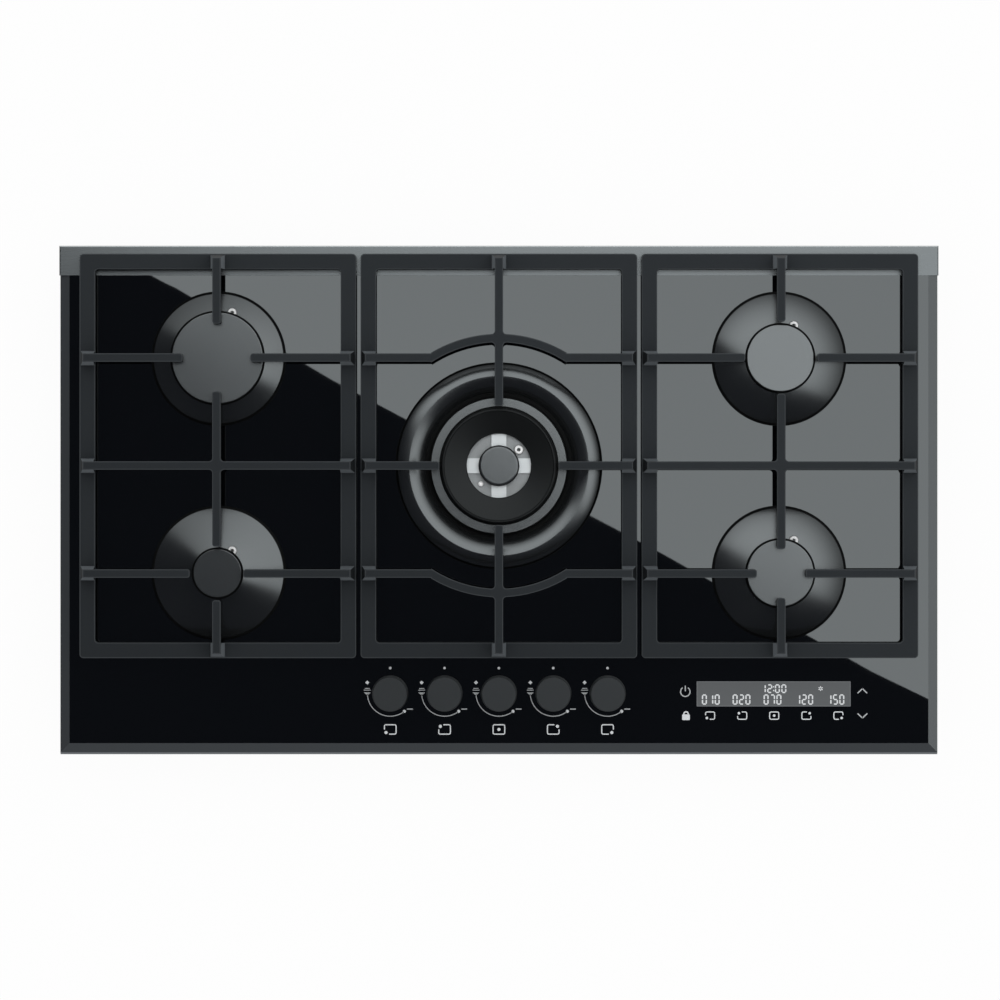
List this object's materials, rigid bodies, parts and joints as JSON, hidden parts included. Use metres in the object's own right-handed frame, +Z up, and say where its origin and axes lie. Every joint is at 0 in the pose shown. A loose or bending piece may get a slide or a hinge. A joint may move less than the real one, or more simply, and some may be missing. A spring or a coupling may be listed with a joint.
{
  "type": "gas cooktop",
  "caption": "Built-in gas cooktop: black glass plate with bevelled edges, cast pan supports, burners with caps, knobs and a touch panel.",
  "frame": {"origin": "centre of the worktop's cut-out, on the worktop's top face, at the foam seal's underside", "axes": "+X to the right as the user stands, +Y to the rear, +Z up"},
  "size_m": [0.89, 0.515, 0.099],
  "materials": {
    "black_glass": "polished black",
    "trim_steel": "anthracite, satin",
    "enamel": "matt black enamel",
    "cap_enamel": "satin black enamel",
    "burner_alloy": "cast, satin",
    "dish_enamel": "black enamel, semi-gloss",
    "knob_plastic": "satin dark grey",
    "box_steel": "galvanised sheet",
    "steel_small": "bright steel",
    "brass": "machined brass",
    "tap_alloy": "die cast",
    "ceramic": "white ceramic",
    "rubber": "black rubber",
    "foam": "black sealing foam",
    "housing_plastic": "black moulded plastic",
    "white_plastic": "white moulded plastic",
    "board": "green circuit board"
  },
  "bodies": {
    "hob": {"glass_plate": "black_glass", "rear_trim": "trim_steel", "foam_seal": "foam", "bottom_box": "box_steel", "burner_gaskets": "rubber", "burner_cups": "tap_alloy", "injectors": "brass", "cup_screws": "steel_small", "igniters": "ceramic", "thermocouples": "steel_small", "skirt_rear_left": "dish_enamel", "skirt_rear_right": "dish_enamel", "skirt_front_left": "dish_enamel", "skirt_front_right": "dish_enamel", "wok_dish": "dish_enamel", "tap_bodies": "tap_alloy", "ignition_switches": "housing_plastic", "knob_grommets": "rubber", "gas_rail": "steel_small", "gas_inlet_elbow": "steel_small", "gas_tubes": "steel_small", "rail_brackets": "box_steel", "terminal_box": "housing_plastic", "touch_housing": "housing_plastic", "touch_board": "board", "display_module": "housing_plastic", "spark_generator": "white_plastic"},
    "pan_left": {"pan_support_left": "enamel", "pan_feet_left": "rubber"},
    "pan_centre": {"pan_support_centre": "enamel", "pan_feet_centre": "rubber"},
    "pan_right": {"pan_support_right": "enamel", "pan_feet_right": "rubber"},
    "burner_rear_left": {"crown_rear_left": "burner_alloy"},
    "lid_rear_left": {"cap_rear_left": "cap_enamel"},
    "burner_rear_right": {"crown_rear_right": "burner_alloy"},
    "lid_rear_right": {"cap_rear_right": "cap_enamel"},
    "burner_front_left": {"crown_front_left": "burner_alloy"},
    "lid_front_left": {"cap_front_left": "cap_enamel"},
    "burner_front_right": {"crown_front_right": "burner_alloy"},
    "lid_front_right": {"cap_front_right": "cap_enamel"},
    "burner_wok": {"wok_crown": "burner_alloy"},
    "lid_wok_ring": {"wok_ring_cap": "cap_enamel"},
    "lid_wok_inner": {"wok_inner_cap": "cap_enamel"},
    "tap_front_left": {"tap_plug_front_left": "brass"},
    "handle_front_left": {"knob_front_left": "knob_plastic", "spindle_front_left": "brass"},
    "tap_rear_left": {"tap_plug_rear_left": "brass"},
    "handle_rear_left": {"knob_rear_left": "knob_plastic", "spindle_rear_left": "brass"},
    "tap_wok": {"tap_plug_wok": "brass"},
    "handle_wok": {"knob_wok": "knob_plastic", "spindle_wok": "brass"},
    "tap_rear_right": {"tap_plug_rear_right": "brass"},
    "handle_rear_right": {"knob_rear_right": "knob_plastic", "spindle_rear_right": "brass"},
    "tap_front_right": {"tap_plug_front_right": "brass"},
    "handle_front_right": {"knob_front_right": "knob_plastic", "spindle_front_right": "brass"}
  },
  "joints": [
    {"name": "pan_left_lift", "type": "slide", "parent": "hob", "child": "pan_left", "axis": [0, 0, 1], "range_m": [0, 0.1]},
    {"name": "pan_centre_lift", "type": "slide", "parent": "hob", "child": "pan_centre", "axis": [0, 0, 1], "range_m": [0, 0.1]},
    {"name": "pan_right_lift", "type": "slide", "parent": "hob", "child": "pan_right", "axis": [0, 0, 1], "range_m": [0, 0.1]},
    {"name": "crown_rear_left_lift", "type": "slide", "parent": "hob", "child": "burner_rear_left", "axis": [0, 0, 1], "range_m": [0, 0.007]},
    {"name": "cap_rear_left_lift", "type": "slide", "parent": "burner_rear_left", "child": "lid_rear_left", "axis": [0, 0, 1], "range_m": [0, 0.007]},
    {"name": "crown_rear_right_lift", "type": "slide", "parent": "hob", "child": "burner_rear_right", "axis": [0, 0, 1], "range_m": [0, 0.06]},
    {"name": "cap_rear_right_lift", "type": "slide", "parent": "burner_rear_right", "child": "lid_rear_right", "axis": [0, 0, 1], "range_m": [0, 0.06]},
    {"name": "crown_front_left_lift", "type": "slide", "parent": "hob", "child": "burner_front_left", "axis": [0, 0, 1], "range_m": [0, 0.06]},
    {"name": "cap_front_left_lift", "type": "slide", "parent": "burner_front_left", "child": "lid_front_left", "axis": [0, 0, 1], "range_m": [0, 0.06]},
    {"name": "crown_front_right_lift", "type": "slide", "parent": "hob", "child": "burner_front_right", "axis": [0, 0, 1], "range_m": [0, 0.007]},
    {"name": "cap_front_right_lift", "type": "slide", "parent": "burner_front_right", "child": "lid_front_right", "axis": [0, 0, 1], "range_m": [0, 0.007]},
    {"name": "wok_crown_lift", "type": "slide", "parent": "hob", "child": "burner_wok", "axis": [0, 0, 1], "range_m": [0, 0.022]},
    {"name": "wok_ring_cap_lift", "type": "slide", "parent": "burner_wok", "child": "lid_wok_ring", "axis": [0, 0, 1], "range_m": [0, 0.06]},
    {"name": "wok_inner_cap_lift", "type": "slide", "parent": "burner_wok", "child": "lid_wok_inner", "axis": [0, 0, 1], "range_m": [0, 0.06]},
    {"name": "tap_front_left_turn", "type": "hinge", "parent": "hob", "child": "tap_front_left", "pos_m": [-0.11, -0.1956, 0], "axis": [0, 0, 1], "range_deg": [0, 216]},
    {"name": "knob_front_left_press", "type": "slide", "parent": "tap_front_left", "child": "handle_front_left", "axis": [0, 0, -1], "range_m": [0, 0.003], "stiffness_N_per_m": 1000, "springref_m": -0.005},
    {"name": "tap_rear_left_turn", "type": "hinge", "parent": "hob", "child": "tap_rear_left", "pos_m": [-0.055, -0.1956, 0], "axis": [0, 0, 1], "range_deg": [0, 216]},
    {"name": "knob_rear_left_press", "type": "slide", "parent": "tap_rear_left", "child": "handle_rear_left", "axis": [0, 0, -1], "range_m": [0, 0.003], "stiffness_N_per_m": 1000, "springref_m": -0.005},
    {"name": "tap_wok_turn", "type": "hinge", "parent": "hob", "child": "tap_wok", "pos_m": [0, -0.1956, 0], "axis": [0, 0, 1], "range_deg": [0, 216]},
    {"name": "knob_wok_press", "type": "slide", "parent": "tap_wok", "child": "handle_wok", "axis": [0, 0, -1], "range_m": [0, 0.003], "stiffness_N_per_m": 1000, "springref_m": -0.005},
    {"name": "tap_rear_right_turn", "type": "hinge", "parent": "hob", "child": "tap_rear_right", "pos_m": [0.055, -0.1956, 0], "axis": [0, 0, 1], "range_deg": [0, 216]},
    {"name": "knob_rear_right_press", "type": "slide", "parent": "tap_rear_right", "child": "handle_rear_right", "axis": [0, 0, -1], "range_m": [0, 0.003], "stiffness_N_per_m": 1000, "springref_m": -0.005},
    {"name": "tap_front_right_turn", "type": "hinge", "parent": "hob", "child": "tap_front_right", "pos_m": [0.11, -0.1956, 0], "axis": [0, 0, 1], "range_deg": [0, 216]},
    {"name": "knob_front_right_press", "type": "slide", "parent": "tap_front_right", "child": "handle_front_right", "axis": [0, 0, -1], "range_m": [0, 0.003], "stiffness_N_per_m": 1000, "springref_m": -0.005}
  ]
}
